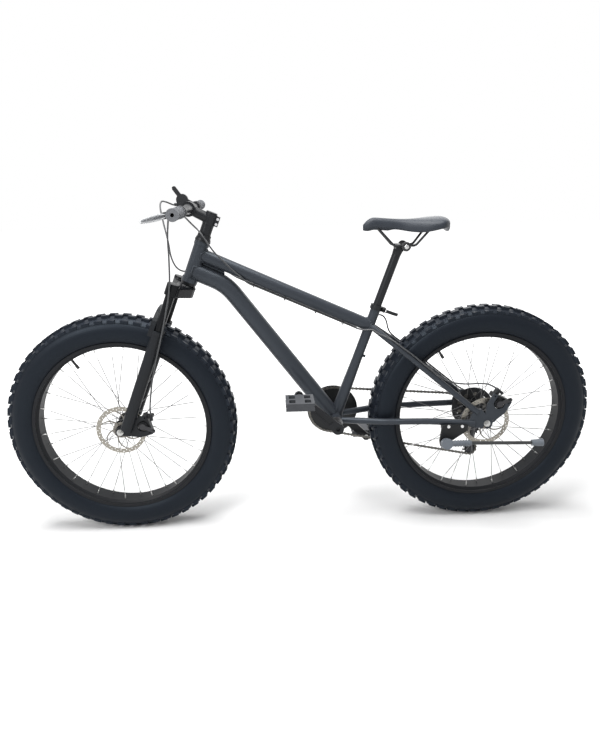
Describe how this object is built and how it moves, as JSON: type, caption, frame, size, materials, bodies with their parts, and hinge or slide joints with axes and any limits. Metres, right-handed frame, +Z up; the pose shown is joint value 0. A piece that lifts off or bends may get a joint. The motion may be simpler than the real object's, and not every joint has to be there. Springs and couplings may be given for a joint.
{
  "type": "fat tire bike",
  "caption": "Hardtail bicycle with very wide knobbed tyres, suspension fork, disc brakes, rear derailleur drive and a stowed side stand.",
  "frame": {"origin": "on the floor under the middle of the wheelbase, in the middle plane", "axes": "+Z up, -X the way the bike rides, -Y the rider's left, the side that the picture shows"},
  "size_m": [1.9258, 0.684, 1.1201],
  "materials": {
    "frame_paint": "matt charcoal",
    "fork_paint": "gloss black",
    "lower_paint": "satin charcoal",
    "black_alloy": "black anodised, satin",
    "bright_steel": "brushed",
    "dark_steel": "oiled",
    "grey_alloy": "brushed grey",
    "bright_alloy": "polished",
    "tyre_rubber": "matt",
    "tube_rubber": "matt",
    "grip_rubber": "matt",
    "black_plastic": "satin",
    "pedal_plastic": "satin",
    "saddle_cover": "grained",
    "cable_cover": "satin"
  },
  "bodies": {
    "frame": {"head_tube": "frame_paint", "top_tube": "frame_paint", "down_tube": "frame_paint", "seat_tube": "frame_paint", "chainstays": "frame_paint", "seatstays": "frame_paint", "headset": "black_alloy", "bottom_bracket": "bright_steel", "seat_collar": "black_alloy", "rear_axle": "bright_steel", "rear_caliper": "black_alloy", "kickstand_bracket": "black_alloy", "derailleur_body": "black_alloy", "rear_brake_housing": "cable_cover", "shift_housing": "cable_cover", "chain": "dark_steel"},
    "steering": {"fork_crown": "fork_paint", "stanchions": "fork_paint", "steerer_spacers": "black_alloy", "stem": "black_alloy", "handlebar": "black_alloy", "grips": "grip_rubber", "lever_clamps": "black_plastic", "front_brake_housing": "cable_cover"},
    "fork_slider": {"fork_lowers": "lower_paint", "front_axle": "bright_steel", "front_caliper": "black_alloy"},
    "front_pad_lever": {"front_caliper_arm": "dark_steel"},
    "rear_pad_lever": {"rear_caliper_arm": "dark_steel"},
    "front_wheel": {"front_hub": "black_alloy", "front_spokes": "bright_steel", "front_rim": "black_alloy", "front_tyre": "tyre_rubber", "front_inner_tube": "tube_rubber", "front_rotor": "bright_steel"},
    "rear_wheel": {"rear_hub": "black_alloy", "rear_spokes": "bright_steel", "rear_rim": "black_alloy", "rear_tyre": "tyre_rubber", "rear_inner_tube": "tube_rubber", "rear_rotor": "bright_steel", "spoke_protector": "black_plastic"},
    "sprockets": {"cassette": "dark_steel"},
    "crankset": {"left_crank": "black_alloy", "right_crank": "black_alloy", "chainring": "black_plastic", "pedal_axles": "bright_steel"},
    "left_foot_pedal": {"left_pedal": "pedal_plastic"},
    "right_foot_pedal": {"right_pedal": "pedal_plastic"},
    "cage": {"derailleur_cage": "dark_steel"},
    "upper_pulley": {"guide_pulley": "black_plastic"},
    "lower_pulley": {"tension_pulley": "black_plastic"},
    "stand": {"kickstand_leg": "grey_alloy"},
    "seat": {"seatpost": "black_alloy", "saddle_rails": "dark_steel", "saddle": "saddle_cover"},
    "seat_lever": {"seat_clamp_lever": "black_alloy"},
    "left_lever": {"left_brake_lever": "bright_alloy"},
    "right_lever": {"right_brake_lever": "bright_alloy"},
    "thumb_lever": {"shift_lever": "black_plastic"}
  },
  "joints": [
    {"name": "steering", "type": "hinge", "parent": "frame", "child": "steering", "pos_m": [-0.34829, 0, 0.83864], "axis": [0.373, 0, 0.9278], "range_deg": [-55, 55], "deforming": ["rear_brake_housing", "shift_housing"]},
    {"name": "fork_travel", "type": "slide", "parent": "steering", "child": "fork_slider", "axis": [0.373, 0, 0.9278], "range_m": [0, 0.048], "stiffness_N_per_m": 9000, "springref_m": -0.022, "deforming": ["front_brake_housing"]},
    {"name": "front_wheel_spin", "type": "hinge", "parent": "fork_slider", "child": "front_wheel", "pos_m": [-0.592, 0, 0.371], "axis": [0, 1, 0], "continuous": true},
    {"name": "rear_wheel_spin", "type": "hinge", "parent": "frame", "child": "rear_wheel", "pos_m": [0.592, 0, 0.371], "axis": [0, 1, 0], "continuous": true},
    {"name": "crank_spin", "type": "hinge", "parent": "frame", "child": "crankset", "pos_m": [0.106, 0, 0.37], "axis": [0, 1, 0], "continuous": true, "deforming": ["chain"]},
    {"name": "sprocket_spin", "type": "hinge", "parent": "frame", "child": "sprockets", "pos_m": [0.592, 0, 0.371], "axis": [0, 1, 0], "continuous": true},
    {"name": "left_pedal_spin", "type": "hinge", "parent": "crankset", "child": "left_foot_pedal", "pos_m": [-0.01813, 0, 0.48616], "axis": [0, 1, 0], "continuous": true},
    {"name": "right_pedal_spin", "type": "hinge", "parent": "crankset", "child": "right_foot_pedal", "pos_m": [0.23013, 0, 0.25384], "axis": [0, 1, 0], "continuous": true},
    {"name": "cage_swing", "type": "hinge", "parent": "frame", "child": "cage", "pos_m": [0.611, 0, 0.283], "axis": [0, 1, 0], "range_deg": [0, 30], "stiffness_Nm_per_rad": 1.5, "springref_deg": -20.05, "deforming": ["chain"]},
    {"name": "guide_pulley_spin", "type": "hinge", "parent": "cage", "child": "upper_pulley", "pos_m": [0.611, 0, 0.283], "axis": [0, 1, 0], "continuous": true},
    {"name": "tension_pulley_spin", "type": "hinge", "parent": "cage", "child": "lower_pulley", "pos_m": [0.60095, 0, 0.20565], "axis": [0, 1, 0], "continuous": true},
    {"name": "kickstand_swing", "type": "hinge", "parent": "frame", "child": "stand", "pos_m": [0.455, -0.108, 0.309], "axis": [0, 0.9397, -0.342], "range_deg": [0, 95]},
    {"name": "seat_height", "type": "slide", "parent": "frame", "child": "seat", "axis": [0.3355, 0, 0.9421], "range_m": [-0.15, 0.06]},
    {"name": "seat_lever_turn", "type": "hinge", "parent": "frame", "child": "seat_lever", "pos_m": [0.26024, -0.015, 0.7349], "axis": [0.3355, 0, 0.9421], "range_deg": [-135, 0]},
    {"name": "left_brake_pull", "type": "hinge", "parent": "steering", "child": "left_lever", "pos_m": [-0.36988, -0.197, 1.04827], "axis": [-0.1908, 0, 0.9816], "range_deg": [0, 18], "stiffness_Nm_per_rad": 1.2, "springref_deg": -11.46},
    {"name": "right_brake_pull", "type": "hinge", "parent": "steering", "child": "right_lever", "pos_m": [-0.36988, 0.197, 1.04827], "axis": [-0.1908, 0, 0.9816], "range_deg": [-18, 0], "stiffness_Nm_per_rad": 1.2, "springref_deg": 11.46},
    {"name": "front_pad_squeeze", "type": "hinge", "parent": "fork_slider", "child": "front_pad_lever", "pos_m": [-0.51826, 0, 0.38939], "axis": [0, 1, 0], "range_deg": [-20, 0]},
    {"name": "rear_pad_squeeze", "type": "hinge", "parent": "frame", "child": "rear_pad_lever", "pos_m": [0.62768, 0, 0.4381], "axis": [0, 1, 0], "range_deg": [-20, 0]},
    {"name": "thumb_shift", "type": "hinge", "parent": "steering", "child": "thumb_lever", "pos_m": [-0.37454, 0, 1.07714], "axis": [0, 1, 0], "range_deg": [-35, 10]}
  ],
  "couplings": [
    {"joint": "sprocket_spin", "follows": "crank_spin", "ratio": 2},
    {"joint": "guide_pulley_spin", "follows": "crank_spin", "ratio": -3.6364},
    {"joint": "tension_pulley_spin", "follows": "crank_spin", "ratio": 3.6364},
    {"joint": "front_pad_squeeze", "follows": "left_brake_pull", "ratio": -1},
    {"joint": "rear_pad_squeeze", "follows": "right_brake_pull", "ratio": 1}
  ]
}
